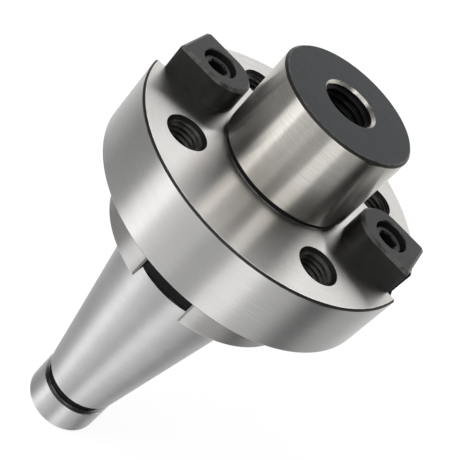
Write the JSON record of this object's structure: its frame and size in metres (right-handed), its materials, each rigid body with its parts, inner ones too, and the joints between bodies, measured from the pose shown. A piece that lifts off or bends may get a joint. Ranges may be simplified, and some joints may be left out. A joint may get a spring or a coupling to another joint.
{
  "type": "milling arbor",
  "caption": "Face mill arbor with a steep taper shank, a slotted collar, a wide flange with threaded cutter bolt holes, bolted drive keys and a centring pilot.",
  "frame": {"origin": "centre of the taper's gauge plane, where the taper is 69.85 mm across", "axes": "+Z along the arbor's axis from the drawbar end to the pilot's end, +X through the drive keys, +Y through the slots for the spindle's keys"},
  "size_m": [0.1396, 0.1396, 0.2335],
  "materials": {
    "ground_steel": "ground steel, bright on the working faces",
    "black_oxide_steel": "black oxide, satin",
    "black_screw_steel": "black oxide, semi-gloss"
  },
  "bodies": {
    "root": {"arbor_body": "ground_steel", "drive_key_right": "black_oxide_steel", "drive_key_left": "black_oxide_steel", "key_screws": "black_screw_steel"}
  },
  "joints": []
}
